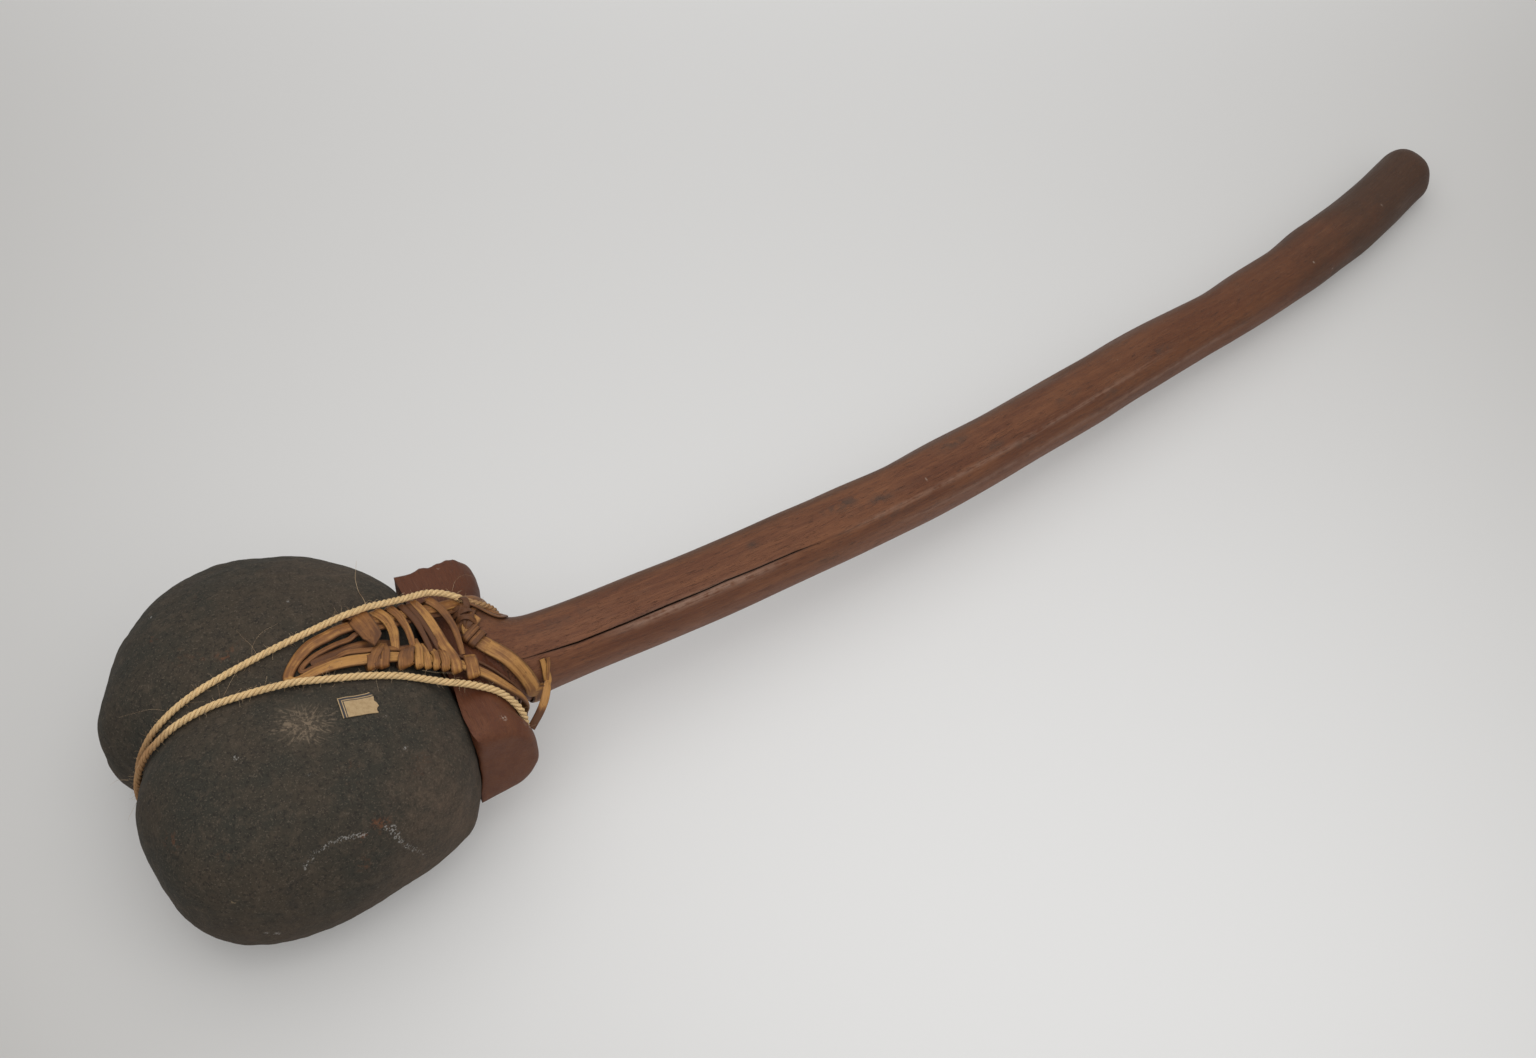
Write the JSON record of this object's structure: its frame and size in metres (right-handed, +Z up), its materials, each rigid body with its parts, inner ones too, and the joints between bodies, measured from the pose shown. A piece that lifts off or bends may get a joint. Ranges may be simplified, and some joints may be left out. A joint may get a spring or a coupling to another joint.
{
  "type": "stone maul",
  "caption": "Grooved stone maul head lashed with cane strips and twisted cord to the crossbar of a long, gently curved T-shaped wooden haft.",
  "frame": {"origin": "bottom centre of the bounding box, on the surface that the maul lies on", "axes": "+X along the haft from the stone to the butt, +Y towards the far, narrower lobe of the stone, +Z up"},
  "size_m": [0.9412, 0.2524, 0.134],
  "materials": {
    "stone": "matte, pecked and ground, dark grey-brown with rusty stains",
    "wood": "hand-worn, dark reddish brown, slight sheen",
    "cane": "split cane, satin, honey brown",
    "cord": "twisted plant fibre, matt, fuzzy",
    "paper": "aged, blank"
  },
  "bodies": {
    "root": {"stone_head": "stone", "haft": "wood", "sling_outer_cane": "cane", "sling_inner_cane": "cane", "sling_band": "cane", "frapping_strip": "cane", "neck_strap": "cane", "neck_knot": "cane", "loose_tail": "cane", "binding_cord": "cord", "paper_label": "paper"}
  },
  "joints": []
}
